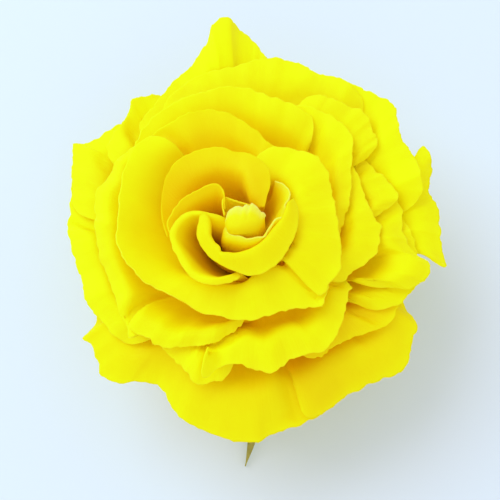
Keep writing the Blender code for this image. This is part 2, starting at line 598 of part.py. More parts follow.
def build_bloom(group):
    pieces = new_collection("petal_pieces")
    nest = Nest()
    for petal in HEART:
        grid = heart_petal(petal, HEART_COLUMNS, PETAL_ROWS)
        nest.add(grid)
        blade(petal["name"], grid, PETAL_THICKNESS, pieces)
    for petal in ROWS:
        grid = nest.settle(row_petal(petal, columns_for(petal), PETAL_ROWS))
        nest.add(grid)
        blade(petal["name"], grid, PETAL_THICKNESS, pieces)
    base = HIP_TOP + PIECE_GAP
    core = turned("core", [
        (0.0, CORE_TOP),
        (CORE_RADIUS * 0.55, CORE_TOP - 2.5),
        (CORE_RADIUS * 0.9, CORE_TOP - 7.5),
        (CORE_RADIUS, base + 4.0),
        (CORE_RADIUS * 0.72, base),
        (0.0, base),
    ], 16, group)
    return joined("bloom", core, pieces, group, principled("petal_yellow", YELLOW, 0.6))


def build_calyx(group):
    pieces = new_collection("sepal_pieces")
    across = np.linspace(-1.0, 1.0, 5)
    along = np.linspace(0.0, 1.0, 9)
    for number, (azimuth, reach, half_width, arch, sway) in enumerate(SEPALS):
        spine = smooth_line([(3.0, 17.5), (9.0, 18.6), (reach * 0.55, arch), (reach * 0.86, 3.4),
                             (reach, 0.6)], along)
        turn = math.radians(azimuth)
        grid = []
        for side in across:
            line = []
            for share, (out, up) in zip(along, spine):
                fullness = 0.62 + 0.38 * math.sin(math.pi * min(1.0, share * 2.4) / 2)
                width = max(0.45, half_width * fullness * (1.0 - share ** 1.9))
                offset = side * width + sway * math.sin(math.pi * share)
                cup = 0.9 * (side ** 2) * (1.0 - share)
                line.append((out * math.cos(turn) - offset * math.sin(turn),
                             out * math.sin(turn) + offset * math.cos(turn), up - cup))
            grid.append(line)
        blade("sepal_%d" % (number + 1), np.array(grid), SEPAL_THICKNESS, pieces)
    base = STUB_HEIGHT + PIECE_GAP
    hip = turned("hip", [
        (0.0, HIP_TOP),
        (HIP_RADIUS * 0.78, HIP_TOP),
        (HIP_RADIUS * 0.92, HIP_TOP - 2.4),
        (HIP_RADIUS, HIP_TOP - 5.4),
        (HIP_RADIUS * 0.86, base + 2.6),
        (STUB_RADIUS + 0.2, base),
        (0.0, base),
    ], 16, group)
    return joined("calyx", hip, pieces, group, principled("sepal_olive", OLIVE, 0.7))


def build_stem(group):
    stem = turned("stem", [
        (0.0, STUB_HEIGHT),
        (STUB_RADIUS + 0.1, STUB_HEIGHT),
        (STUB_RADIUS - 0.25, STUB_HEIGHT * 0.45),
        (STUB_RADIUS, 0.0),
        (0.0, 0.0),
    ], 14, group)
    stem.data.materials.append(principled("stem_green", STEM_GREEN, 0.75))
    stem.data.shade_smooth()
    return stem


clear_scene()
ROSE = new_collection("preserved_rose")
build_stem(ROSE)
build_calyx(ROSE)
build_bloom(ROSE)
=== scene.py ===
"""A preserved yellow rose head, face up on a pale table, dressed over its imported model."""

import math

import bmesh
import bpy
import numpy as np
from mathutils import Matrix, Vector


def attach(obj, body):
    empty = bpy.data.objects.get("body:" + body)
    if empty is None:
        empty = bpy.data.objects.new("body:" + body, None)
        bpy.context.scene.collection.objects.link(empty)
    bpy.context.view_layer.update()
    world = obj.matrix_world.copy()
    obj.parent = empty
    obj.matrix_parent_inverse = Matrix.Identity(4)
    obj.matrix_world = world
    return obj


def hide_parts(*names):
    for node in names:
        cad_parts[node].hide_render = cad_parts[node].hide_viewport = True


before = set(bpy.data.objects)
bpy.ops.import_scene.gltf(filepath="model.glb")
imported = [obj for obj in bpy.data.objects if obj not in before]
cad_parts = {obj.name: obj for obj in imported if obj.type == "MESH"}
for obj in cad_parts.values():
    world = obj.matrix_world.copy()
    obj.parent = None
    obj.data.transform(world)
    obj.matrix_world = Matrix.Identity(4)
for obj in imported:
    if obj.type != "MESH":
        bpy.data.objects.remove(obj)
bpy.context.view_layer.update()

# Camera. The flower was photographed from above and a little from the front, close up with a
# plain lens. It looks at a point just off the flower's axis at the height of the petals.
LOOK_AT = Vector((0.00127, -0.00361, 0.045))
VIEW_DISTANCE = 0.260
VIEW_ELEVATION = math.radians(74.0)
FIELD_OF_VIEW = math.radians(26.0)

camera = bpy.data.objects.new("camera", bpy.data.cameras.new("camera"))
bpy.context.scene.collection.objects.link(camera)
camera.data.sensor_fit = "HORIZONTAL"
camera.data.angle = FIELD_OF_VIEW
camera.data.clip_start = 0.01
camera.location = LOOK_AT + VIEW_DISTANCE * Vector((0.0, -math.cos(VIEW_ELEVATION),
                                                    math.sin(VIEW_ELEVATION)))
camera.rotation_euler = (math.pi / 2 - VIEW_ELEVATION, 0.0, 0.0)
bpy.context.scene.camera = camera

# Table. A plain pale surface, a cold white, that the flower rests on. It is matte enough that
# it takes only a soft shade.
TABLE_WIDTH = 3.0
TABLE_COLOUR = (0.59, 0.735, 0.87, 1.0)

table_shape = bmesh.new()
bmesh.ops.create_grid(table_shape, x_segments=2, y_segments=2, size=TABLE_WIDTH / 2)
table_mesh = bpy.data.meshes.new("table_top")
table_shape.to_mesh(table_mesh)
table_shape.free()
table_top = bpy.data.objects.new("table_top", table_mesh)
bpy.context.scene.collection.objects.link(table_top)
table_paint = bpy.data.materials.new("table_paint")
table_paint.use_nodes = True
table_shader = table_paint.node_tree.nodes["Principled BSDF"]
table_shader.inputs["Base Color"].default_value = TABLE_COLOUR
table_shader.inputs["Roughness"].default_value = 0.8
table_mesh.materials.append(table_paint)

# Light. One broad lamp from the upper left, a weaker one from the front, and an even pale
# light all round, so that shadows stay soft and the petals nearly burn out.

# A lamp has a name, a place, a width, a power and a tint.
LAMPS = [
    ("window_light", (-0.75, 0.55, 1.10), 1.1, 12.5, (1.0, 0.99, 0.97)),
    ("front_light", (0.15, -1.10, 0.90), 0.9, 1.5, (1.0, 1.0, 1.0)),
]
EVEN_LIGHT = 0.82
EVEN_LIGHT_COLOUR = (0.93, 0.97, 1.0, 1.0)
FULL_RED = 0.88
RED_LIFTS = ((0.50, 0.63), (0.75, 0.80))
GREEN_LIFTS = ((0.33, 0.42), (0.65, 0.71))

for lamp_name, place, width, power, tint in LAMPS:
    lamp_data = bpy.data.lights.new(lamp_name, "AREA")
    lamp_data.size = width
    lamp_data.energy = power
    lamp_data.color = tint
    lamp = bpy.data.objects.new(lamp_name, lamp_data)
    bpy.context.scene.collection.objects.link(lamp)
    lamp.location = place
    lamp.rotation_euler = (LOOK_AT - Vector(place)).to_track_quat("-Z", "Y").to_euler()

even_light = bpy.data.worlds.new("even_light")
bpy.context.scene.world = even_light
even_light.use_nodes = True
sky = even_light.node_tree.nodes["Background"]
sky.inputs["Color"].default_value = EVEN_LIGHT_COLOUR
sky.inputs["Strength"].default_value = EVEN_LIGHT

# Light passes many times between the petals before it comes out of a fold.
bpy.context.scene.cycles.max_bounces = 16
bpy.context.scene.cycles.diffuse_bounces = 12

# The picture's curves lift the middle of red and green and hold back full red.
view = bpy.context.scene.view_settings
view.view_transform = "Standard"
view.use_curve_mapping = True
red_response, green_response = view.curve_mapping.curves[0], view.curve_mapping.curves[1]
red_response.points[-1].location = (1.0, FULL_RED)
for level, lifted in RED_LIFTS:
    red_response.points.new(level, lifted)
for level, lifted in GREEN_LIFTS:
    green_response.points.new(level, lifted)
view.curve_mapping.update()

# Stem stub. The rose was cut just under its hip, so only a short stub of green-brown stem is
# left. It is woody, slightly waisted and ribbed, with a flat pale cut end that stands on the
# table.
STUB_RADIUS = 0.0030
STUB_TOP = 0.0090
STUB_RINGS = 18
STUB_SIDES = 40
CUT_EDGE = 0.0002
RIB_DEPTH = 0.00012


def lay_in_scene(name, shape, material):
    """Turns a finished bmesh into a piece that rides on the flower."""
    mesh = bpy.data.meshes.new(name)
    shape.to_mesh(mesh)
    shape.free()
    mesh.materials.append(material)
    mesh.shade_smooth()
    piece = bpy.data.objects.new(name, mesh)
    bpy.context.scene.collection.objects.link(piece)
    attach(piece, "root")
    return piece


def spun(profile, sides):
    """A closed turned shape from (reach, height) points that start and end on the axis."""
    shape = bmesh.new()
    line = [shape.verts.new((reach, 0.0, height)) for reach, height in profile]
    edges = [shape.edges.new(pair) for pair in zip(line, line[1:])]
    bmesh.ops.spin(shape, geom=line + edges, cent=(0, 0, 0), axis=(0, 0, 1),
                   angle=2 * math.pi, steps=sides, use_merge=True)
    bmesh.ops.remove_doubles(shape, verts=shape.verts[:], dist=1e-6)
    bmesh.ops.recalc_face_normals(shape, faces=shape.faces[:])
    return shape


def new_finish(name, roughness):
    """A material with its own Principled shader, and shortcuts to make and link nodes."""
    finish = bpy.data.materials.new(name)
    finish.use_nodes = True
    tree = finish.node_tree
    shader = tree.nodes["Principled BSDF"]
    shader.inputs["Roughness"].default_value = roughness
    return finish, tree, shader


stub_bark, tree, shader = new_finish("stub_bark", 0.7)
place = tree.nodes.new("ShaderNodeTexCoord")
stretch = tree.nodes.new("ShaderNodeMapping")
stretch.inputs["Scale"].default_value = (1400.0, 1400.0, 260.0)
streaks = tree.nodes.new("ShaderNodeTexNoise")
streaks.inputs["Detail"].default_value = 6.0
shades = tree.nodes.new("ShaderNodeValToRGB")
shades.color_ramp.elements[0].position = 0.32
shades.color_ramp.elements[0].color = (0.060, 0.062, 0.018, 1.0)
shades.color_ramp.elements[1].position = 0.70
shades.color_ramp.elements[1].color = (0.23, 0.21, 0.065, 1.0)
height = tree.nodes.new("ShaderNodeSeparateXYZ")
cut_end = tree.nodes.new("ShaderNodeMath")
cut_end.operation = "LESS_THAN"
cut_end.inputs[1].default_value = 0.00012
end_grain = tree.nodes.new("ShaderNodeMix")
end_grain.data_type = "RGBA"
end_grain.inputs["B"].default_value = (0.56, 0.48, 0.26, 1.0)
relief = tree.nodes.new("ShaderNodeBump")
relief.inputs["Strength"].default_value = 0.5
relief.inputs["Distance"].default_value = 0.0001
tree.links.new(place.outputs["Object"], stretch.inputs["Vector"])
tree.links.new(stretch.outputs["Vector"], streaks.inputs["Vector"])
tree.links.new(streaks.outputs["Fac"], shades.inputs["Fac"])
tree.links.new(place.outputs["Object"], height.inputs["Vector"])
tree.links.new(height.outputs["Z"], cut_end.inputs[0])
tree.links.new(cut_end.outputs["Value"], end_grain.inputs["Factor"])
tree.links.new(shades.outputs["Color"], end_grain.inputs["A"])
tree.links.new(end_grain.outputs["Result"], shader.inputs["Base Color"])
tree.links.new(streaks.outputs["Fac"], relief.inputs["Height"])
tree.links.new(relief.outputs["Normal"], shader.inputs["Normal"])

stub_profile = [(0.0, 0.0), (STUB_RADIUS * 0.4, 0.0), (STUB_RADIUS * 0.93, 0.0)]
for ring in range(STUB_RINGS + 1):
    share = ring / STUB_RINGS
    waist = 1.0 - 0.10 * math.sin(math.pi * share) + 0.03 * share
    stub_profile.append((STUB_RADIUS * waist, CUT_EDGE + share * (STUB_TOP - CUT_EDGE)))
stub_profile.append((0.0, STUB_TOP))
stub_shape = spun(stub_profile, STUB_SIDES)
for vertex in stub_shape.verts:
    reach = math.hypot(vertex.co.x, vertex.co.y)
    if reach > STUB_RADIUS * 0.5:
        turn = math.atan2(vertex.co.y, vertex.co.x)
        ribs = math.sin(7 * turn + 0.6) + 0.6 * math.sin(12 * turn + 260 * vertex.co.z)
        vertex.co.xy *= 1.0 + RIB_DEPTH * ribs / reach
stub = lay_in_scene("stem_stub", stub_shape, stub_bark)
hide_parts("stem")

# Hip. The swollen green cup under the bloom, a little pear-shaped and smooth, that carries
# the sepals on its rim and the petals on its top.
HIP_RADIUS = 0.0074
HIP_TOP = 0.0210
HIP_BASE = 0.0093
HIP_RINGS = 24
HIP_SIDES = 64

sepal_skin, tree, shader = new_finish("sepal_skin", 0.62)
shader.inputs["Sheen Weight"].default_value = 0.25
place = tree.nodes.new("ShaderNodeTexCoord")
blotches = tree.nodes.new("ShaderNodeTexNoise")
blotches.inputs["Scale"].default_value = 420.0
blotches.inputs["Detail"].default_value = 5.0
shades = tree.nodes.new("ShaderNodeValToRGB")
shades.color_ramp.elements[0].position = 0.30
shades.color_ramp.elements[0].color = (0.105, 0.105, 0.014, 1.0)
shades.color_ramp.elements[1].position = 0.72
shades.color_ramp.elements[1].color = (0.30, 0.27, 0.045, 1.0)
grain = tree.nodes.new("ShaderNodeTexNoise")
grain.inputs["Scale"].default_value = 2600.0
relief = tree.nodes.new("ShaderNodeBump")
relief.inputs["Strength"].default_value = 0.45
relief.inputs["Distance"].default_value = 0.0001
tree.links.new(place.outputs["Object"], blotches.inputs["Vector"])
tree.links.new(place.outputs["Object"], grain.inputs["Vector"])
tree.links.new(blotches.outputs["Fac"], shades.inputs["Fac"])
tree.links.new(shades.outputs["Color"], shader.inputs["Base Color"])
tree.links.new(grain.outputs["Fac"], relief.inputs["Height"])
tree.links.new(relief.outputs["Normal"], shader.inputs["Normal"])

hip_profile = [(0.0, HIP_BASE)]
for ring in range(HIP_RINGS + 1):
    share = ring / HIP_RINGS
    bulge = math.sin(math.pi * (0.14 + 0.72 * share)) ** 0.55
    foot = 0.82 + 0.18 * min(1.0, share * 3)
    hip_profile.append((HIP_RADIUS * (0.44 + 0.56 * bulge) * foot,
                        HIP_BASE + share * (HIP_TOP - HIP_BASE)))
hip_profile.append((0.0, HIP_TOP))
hip = lay_in_scene("hip", spun(hip_profile, HIP_SIDES), sepal_skin)
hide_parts("calyx")

# Sepals. Five narrow green leaves on the hip's rim, bent back and down under the open bloom.
# They are dry and olive, keeled along the middle, with thin wavy edges and a drawn-out tip.

# A sepal has an azimuth and, in millimetres, the reach of its tip, its half width, the height
# of the middle of its arch, and how far its middle sways aside.
SEPALS = [
    (-90.0, 51.0, 4.2, 13.5, 4.2),
    (-14.0, 33.0, 4.4, 12.5, -3.0),
    (58.0, 36.0, 4.2, 13.0, 2.2),
    (131.0, 31.0, 4.6, 12.0, -2.0),
    (203.0, 34.0, 4.3, 12.8, 2.6),
]
SEPAL_THICKNESS = 0.5
SEPAL_COLUMNS = 16
SEPAL_ROWS = 48
LOWEST = 0.35
MM = 0.001


def smooth_line(points, places):
    """Points at the given shares of the length of a smooth line through a list of points."""
    points = np.asarray(points, float)
    padded = np.vstack([2 * points[0] - points[1], points, 2 * points[-1] - points[-2]])
    steps = np.sqrt(np.linalg.norm(np.diff(padded, axis=0), axis=1)) + 1e-9
    knots = np.concatenate([[0.0], np.cumsum(steps)])
    lengths = np.linalg.norm(np.diff(points, axis=0), axis=1)
    shares = np.concatenate([[0.0], np.cumsum(lengths)]) / lengths.sum()
    result = []
    for place in places:
        span = int(np.clip(np.searchsorted(shares, place, side="right") - 1, 0, len(points) - 2))
        part = (place - shares[span]) / (shares[span + 1] - shares[span])
        p = padded[span:span + 4]
        t = knots[span:span + 4]
        at = t[1] + part * (t[2] - t[1])
        a1 = p[0] * (t[1] - at) / (t[1] - t[0]) + p[1] * (at - t[0]) / (t[1] - t[0])
        a2 = p[1] * (t[2] - at) / (t[2] - t[1]) + p[2] * (at - t[1]) / (t[2] - t[1])
        a3 = p[2] * (t[3] - at) / (t[3] - t[2]) + p[3] * (at - t[2]) / (t[3] - t[2])
        b1 = a1 * (t[2] - at) / (t[2] - t[0]) + a2 * (at - t[0]) / (t[2] - t[0])
        b2 = a2 * (t[3] - at) / (t[3] - t[1]) + a3 * (at - t[1]) / (t[3] - t[1])
        result.append(b1 * (t[2] - at) / (t[2] - t[1]) + b2 * (at - t[1]) / (t[2] - t[1]))
    return np.array(result)


def blade(name, points, thickness, material):
    """A thin leaf or petal along a grid of points in millimetres, by column then by row."""
    columns, rows = points.shape[0], points.shape[1]
    shape = bmesh.new()
    bmesh.ops.create_grid(shape, x_segments=columns - 1, y_segments=rows - 1, size=0.5)
    along = shape.loops.layers.uv.new("along_blade")
    for face in shape.faces:
        for loop in face.loops:
            loop[along].uv = (loop.vert.co.x + 0.5, loop.vert.co.y + 0.5)
    for vertex in shape.verts:
        column = round((vertex.co.x + 0.5) * (columns - 1))
        row = round((vertex.co.y + 0.5) * (rows - 1))
        vertex.co = Vector(points[column, row]) * MM
    piece = lay_in_scene(name, shape, material)
    skin = piece.modifiers.new("thickness", "SOLIDIFY")
    skin.thickness = thickness * MM
    skin.offset = 0.0
    return piece


for number, (azimuth, reach, half_width, arch, sway) in enumerate(SEPALS):
    spine = smooth_line([(3.0, 17.5), (9.0, 18.6), (reach * 0.55, arch), (reach * 0.86, 3.4),
                         (reach, 0.6)], np.linspace(0.0, 1.0, SEPAL_ROWS + 1))
    turn = math.radians(azimuth)
    points = np.zeros((SEPAL_COLUMNS + 1, SEPAL_ROWS + 1, 3))
    for column in range(SEPAL_COLUMNS + 1):
        side = 2 * column / SEPAL_COLUMNS - 1.0
        for row, (out, up) in enumerate(spine):
            share = row / SEPAL_ROWS
            fullness = 0.62 + 0.38 * math.sin(math.pi * min(1.0, share * 2.4) / 2)
            width = max(0.15, half_width * fullness * (1.0 - share ** 1.9))
            edge = 1.0 + 0.05 * math.sin(23 * share + number)
            offset = side * width * edge + sway * math.sin(math.pi * share)
            cup = 0.9 * side ** 2 * (1.0 - share) - 0.35 * (1.0 - abs(side)) ** 3 * (1.0 - share)
            wave = 0.25 * side * math.sin(19 * share + 2 * number) * share * (1 - share) * 4
            points[column, row] = (out * math.cos(turn) - offset * math.sin(turn),
                                   out * math.sin(turn) + offset * math.cos(turn),
                                   max(LOWEST, up - cup + wave))
    sepal = blade("sepal_%d" % (number + 1), points, SEPAL_THICKNESS, sepal_skin)
    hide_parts("calyx")

# Petal base. The small pale cushion on the hip that every petal grows from. It is hidden by
# the petals, and closes the middle of the bloom from below.
CUSHION_RADIUS = 8.6
CUSHION_BASE = 21.3
CUSHION_TOP = 36.0
CUSHION_RINGS = 20
CUSHION_SIDES = 48

petal_skin, tree, shader = new_finish("petal_skin", 0.70)
shader.inputs["Subsurface Weight"].default_value = 0.40
shader.inputs["Subsurface Radius"].default_value = (1.0, 0.80, 0.05)
shader.inputs["Subsurface Scale"].default_value = 0.0025
shader.inputs["Specular IOR Level"].default_value = 0.08
place = tree.nodes.new("ShaderNodeTexCoord")
blade_map = tree.nodes.new("ShaderNodeUVMap")
blade_map.uv_map = "along_blade"
split = tree.nodes.new("ShaderNodeSeparateXYZ")
# Along each petal the colour runs from amber at the foot to lemon at the margin: partly the
# rose's own deeper tone inside, partly painted shade for the crevices between petals.
depth_tint_and_shade = tree.nodes.new("ShaderNodeValToRGB")
depth_tint_and_shade.name = "tint_and_painted_shade_by_depth"
depth_tint_and_shade.color_ramp.elements[0].position = 0.0
depth_tint_and_shade.color_ramp.elements[0].color = (0.98, 0.78, 0.001, 1.0)
depth_tint_and_shade.color_ramp.elements[1].position = 1.0
depth_tint_and_shade.color_ramp.elements[1].color = (0.98, 0.90, 0.012, 1.0)
for stop, tint in ((0.52, (0.98, 0.83, 0.001)), (0.72, (0.98, 0.86, 0.001)),
                   (0.86, (0.98, 0.88, 0.002)), (0.985, (0.98, 0.89, 0.004))):
    depth_tint_and_shade.color_ramp.elements.new(stop).color = (*tint, 1.0)
clouds = tree.nodes.new("ShaderNodeTexNoise")
clouds.inputs["Scale"].default_value = 90.0
clouds.inputs["Detail"].default_value = 3.0
cloud_tint = tree.nodes.new("ShaderNodeMix")
cloud_tint.data_type = "RGBA"
cloud_tint.blend_type = "MULTIPLY"
cloud_tint.inputs["Factor"].default_value = 1.0
cloud_shades = tree.nodes.new("ShaderNodeValToRGB")
cloud_shades.color_ramp.elements[0].position = 0.35
cloud_shades.color_ramp.elements[0].color = (0.97, 0.90, 0.95, 1.0)
cloud_shades.color_ramp.elements[1].position = 0.65
cloud_shades.color_ramp.elements[1].color = (1.0, 1.0, 1.0, 1.0)
vein_map = tree.nodes.new("ShaderNodeMapping")
vein_map.inputs["Scale"].default_value = (70.0, 2.2, 1.0)
veins = tree.nodes.new("ShaderNodeTexNoise")
veins.inputs["Scale"].default_value = 1.0
veins.inputs["Detail"].default_value = 3.0
cells = tree.nodes.new("ShaderNodeTexNoise")
cells.inputs["Scale"].default_value = 3600.0
vein_relief = tree.nodes.new("ShaderNodeBump")
vein_relief.inputs["Strength"].default_value = 0.35
vein_relief.inputs["Distance"].default_value = 0.00025
cell_relief = tree.nodes.new("ShaderNodeBump")
cell_relief.inputs["Strength"].default_value = 0.12
cell_relief.inputs["Distance"].default_value = 0.00006
tree.links.new(blade_map.outputs["UV"], split.inputs["Vector"])
tree.links.new(split.outputs["Y"], depth_tint_and_shade.inputs["Fac"])
tree.links.new(place.outputs["Object"], clouds.inputs["Vector"])
tree.links.new(clouds.outputs["Fac"], cloud_shades.inputs["Fac"])
tree.links.new(depth_tint_and_shade.outputs["Color"], cloud_tint.inputs["A"])
tree.links.new(cloud_shades.outputs["Color"], cloud_tint.inputs["B"])
tree.links.new(cloud_tint.outputs["Result"], shader.inputs["Base Color"])
tree.links.new(blade_map.outputs["UV"], vein_map.inputs["Vector"])
tree.links.new(vein_map.outputs["Vector"], veins.inputs["Vector"])
tree.links.new(veins.outputs["Fac"], vein_relief.inputs["Height"])
tree.links.new(place.outputs["Object"], cells.inputs["Vector"])
tree.links.new(cells.outputs["Fac"], cell_relief.inputs["Height"])
tree.links.new(vein_relief.outputs["Normal"], cell_relief.inputs["Normal"])
tree.links.new(cell_relief.outputs["Normal"], shader.inputs["Normal"])

cushion_profile = [(0.0, CUSHION_BASE)]
for ring in range(CUSHION_RINGS + 1):
    share = ring / CUSHION_RINGS
    bulge = math.sin(math.pi * (0.22 + 0.78 * share)) ** 0.7 if share < 1 else 0.0
    cushion_profile.append((CUSHION_RADIUS * bulge,
                            CUSHION_BASE + share * (CUSHION_TOP - CUSHION_BASE)))
cushion_profile = [(reach * MM, up * MM) for reach, up in cushion_profile]
cushion = lay_in_scene("petal_base", spun(cushion_profile, CUSHION_SIDES), petal_skin)
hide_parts("bloom")

# Heart petals. Seven petals still rolled round each other: the bud's core and its hood, the
# ragged petal wrapped round them, two crescents with turned-out lips, and two lobes behind.
PETAL_THICKNESS = 0.36
PETAL_COLUMNS = 96
PETAL_ROWS = 36
FAN_POINT_HEIGHT = 20.0
NEST_CLEARANCE = 0.95
HEART_SEED = 11
HEART_RUFFLE = {"wave": 0.22, "wrinkle": 0.10, "ragged": 0.16}

# Lengths in millimetres, with strengths, of a margin's waves and nicks, and lengths of pleats.
WAVES = ((17.0, 0.5), (9.0, 0.35), (5.0, 0.18))
NICKS = ((7.3, 0.5), (3.4, 0.3), (1.9, 0.2))
PLEATS = (15.0, 8.0)
BUCKLES = 5

# A petal runs through four lines, root, waist, crest and margin, each a list of plan points
# with a height for all or a third number of their own. A root is an arc: from and to in
# degrees, reach, height.
HEART = [
    {
        "name": "bud_core",
        "root": ((100, 190), 2.4, 30),
        "waist": ([(1.4, 3.2), (-0.8, 3.6), (-3.0, 3.6), (-4.2, 2.6), (-4.4, 1.0)], 46),
        "crest": ([(1.2, 3.4), (-0.8, 3.8), (-2.8, 4.0), (-4.2, 3.4), (-4.6, 1.4)], 52),
        "margin": ([(1.3, 4.2), (-0.6, 4.8), (-2.8, 5.5), (-4.8, 6.1), (-5.2, 4.0),
                    (-4.9, 1.8)], 55.5),
    },
    {
        "name": "bud_hood",
        "root": ((200, 340), 2.4, 30),
        "waist": ([(-4.0, -0.6), (-3.0, -3.4), (0.0, -4.6), (3.2, -3.8), (4.7, -0.6)], 47),
        "crest": ([(-4.3, -0.4, 56.6), (-3.4, -2.2, 58.6), (-0.4, -2.4, 59.8), (2.6, -1.6, 59.6),
                   (4.6, 0.2, 58.4)], 59.5),
        "margin": ([(-3.9, 1.1, 56.6), (-3.2, 2.3, 57.6), (-1.6, 3.1, 58.3), (-0.4, 2.7, 58.6),
                    (0.3, 3.2, 58.8), (1.1, 2.8, 58.8), (1.7, 3.5, 58.8), (2.9, 2.7, 58.6),
                    (3.8, 1.6, 58.3), (4.2, 1.7, 58.2), (4.9, 0.9, 57.8)], 58.5),
    },
    {
        "name": "bud_wrap",
        "root": ((190, 415), 3.4, 30),
        "waist": ([(-4.6, -0.5), (-5.4, -3.3), (-3.8, -5.7), (-0.4, -6.4), (2.8, -5.8),
                   (4.6, -3.6), (5.0, -0.6), (5.0, 3.0), (4.8, 6.4)], 45),
        "crest": ([(-4.1, 0.0, 55.0), (-4.7, -2.0, 55.2), (-4.3, -4.2, 56.0), (-1.8, -5.3, 56.8),
                   (0.9, -5.7, 57.0), (3.4, -5.2, 56.6), (5.2, -3.8, 56.2), (6.0, -1.8, 54.0),
                   (6.4, 0.8, 51.5), (6.8, 4.2, 50.5), (6.6, 8.2, 50.0)], 56),
        "margin": ([(-3.8, 0.3, 56.2), (-4.1, -1.6, 56.6), (-3.3, -3.4, 57.4), (-1.0, -4.1, 58.2),
                    (0.8, -4.8, 58.4), (3.1, -4.3, 58.4), (4.7, -4.1, 58.2), (5.4, -2.9, 58.2),
                    (6.4, -1.4, 58.4), (7.2, -0.2, 58.4), (8.6, 0.5, 58.0), (9.4, 1.9, 57.4),
                    (9.4, 3.9, 56.8), (10.3, 5.6, 56.0), (10.5, 7.6, 55.4), (9.2, 9.6, 55.0),
                    (7.2, 10.6, 54.6)], 58),
    },
    {
        "name": "heart_right",
        "root": ((165, 385), 4.2, 29),
        "waist": ([(-8.0, 0.4), (-8.2, -3.6), (-6.4, -6.9), (-3.2, -8.8), (0.2, -8.9),
                   (4.0, -7.6), (7.2, -4.4), (8.9, -0.4), (9.4, 3.6)], 44),
        "crest": ([(-9.0, 1.6, 57.4), (-8.3, -0.2, 57.8), (-8.2, -2.1), (-8.1, -3.7),
                   (-7.0, -5.7), (-5.8, -6.8), (-5.4, -8.0), (-3.6, -8.3), (-2.0, -8.4),
                   (0.1, -7.9), (2.4, -6.9), (4.7, -5.1), (6.6, -2.8), (8.2, -0.7), (9.3, 1.2),
                   (10.2, 4.2)], 58.3),
        "margin": ([(-10.0, 1.6, 57.2), (-10.5, -0.4, 57.0), (-11.0, -2.8), (-10.4, -5.0),
                    (-8.6, -8.0), (-6.2, -10.0), (-3.3, -11.3), (-1.5, -12.2), (1.3, -13.0),
                    (4.7, -12.2), (8.2, -9.4), (10.9, -4.9), (12.3, -0.9), (12.4, 2.6),
                    (11.2, 5.4)], 56.6),
    },
    {
        "name": "heart_left",
        "root": ((150, 290), 4.8, 29),
        "waist": ([(-3.6, -3.0), (-6.2, -2.0), (-9.0, -0.4), (-10.8, -0.4), (-11.4, -2.8),
                   (-10.8, -5.6), (-9.0, -8.4), (-5.8, -10.6), (-2.0, -11.6), (2.0, -11.8)], 46),
        "crest": ([(-3.4, -0.6, 53.6), (-6.0, 0.4, 55.8), (-9.2, 1.2), (-12.1, 1.2), (-14.1, 0.0),
                   (-15.5, -1.9), (-16.0, -4.0), (-15.2, -6.4), (-13.6, -9.1), (-11.9, -12.0),
                   (-9.3, -13.6), (-6.7, -14.0), (-3.6, -12.9, 56.0), (-1.4, -11.6, 54.5)], 57.3),
        "margin": ([(-3.8, 0.8, 55.0), (-6.2, 1.5, 56.6), (-9.3, 2.1), (-12.5, 2.3), (-14.6, 1.1),
                    (-16.4, -1.2), (-17.1, -3.7), (-16.4, -6.6), (-14.8, -9.6), (-12.9, -12.8),
                    (-9.6, -14.8), (-6.8, -15.3), (-3.2, -14.4, 56.0), (-0.8, -12.8, 55.0)], 57),
    },
    {
        "name": "heart_upper_left",
        "root": ((115, 190), 4.8, 29),
        "waist": ([(-4.3, 3.0), (-5.2, 4.6), (-7.2, 5.0), (-9.6, 4.2), (-11.4, 2.6),
                   (-12.4, 0.2), (-12.6, -2.4)], 46),
        "crest": ([(-4.6, 3.4, 53.0), (-4.9, 6.0), (-6.2, 7.3), (-8.6, 6.6), (-11.2, 5.0),
                   (-13.4, 3.0), (-15.2, 0.6), (-15.6, -2.2)], 54.5),
        "margin": ([(-4.7, 3.2, 55.0), (-4.8, 6.4), (-5.8, 8.8), (-7.5, 9.2), (-9.8, 8.2),
                    (-12.4, 6.8), (-14.8, 4.9), (-16.8, 2.2), (-17.8, -0.4),
                    (-17.2, -2.8)], 56.5),
    },
    {
        "name": "heart_top",
        "root": ((35, 200), 4.6, 29),
        "waist": ([(2.6, 3.4), (2.2, 6.0), (0.8, 8.4), (-1.8, 9.6), (-4.8, 9.8), (-8.2, 9.2),
                   (-11.4, 7.6), (-13.4, 5.0), (-14.4, 2.2), (-14.8, -0.8)], 44),
        "crest": ([(3.6, 3.6, 55.5), (2.0, 6.2, 56.8), (1.0, 9.2, 57.4), (0.0, 11.8, 57.0),
                   (-2.4, 13.4, 55.5), (-6.2, 14.0, 54.0), (-10.2, 13.0, 53.0),
                   (-13.4, 11.0, 51.0), (-15.8, 8.2, 48.5), (-17.0, 5.2, 46.5),
                   (-17.4, 2.6, 45.5), (-17.0, -0.4, 45.0)], 54),
        "margin": ([(4.6, 3.6, 56.0), (5.4, 6.6, 56.5), (6.0, 9.6, 56.5), (5.8, 12.2, 56.5),
                    (4.0, 15.0, 56.0), (0.2, 17.2, 56.0), (-2.2, 17.2, 56.0), (-5.3, 18.4, 56.0),
                    (-9.2, 18.4, 55.5), (-12.5, 17.6, 55.0), (-15.6, 16.2, 54.0),
                    (-17.9, 14.0, 52.5), (-19.3, 11.2, 50.5), (-19.9, 8.2, 49.0),
                    (-19.9, 5.0, 48.0), (-19.5, 2.0, 47.0), (-18.6, -0.8, 46.5)], 56),
    },
]


def copy_with_tints_and_shade(name, tints):
    """A copy of the petals' finish with its own tints and painted shade, from the foot to the
    margin.
    """
    finish = petal_skin.copy()
    finish.name = name
    for stop, tint in zip(finish.node_tree.nodes[depth_tint_and_shade.name].color_ramp.elements, tints):
        stop.color = (*tint, 1.0)
    return finish


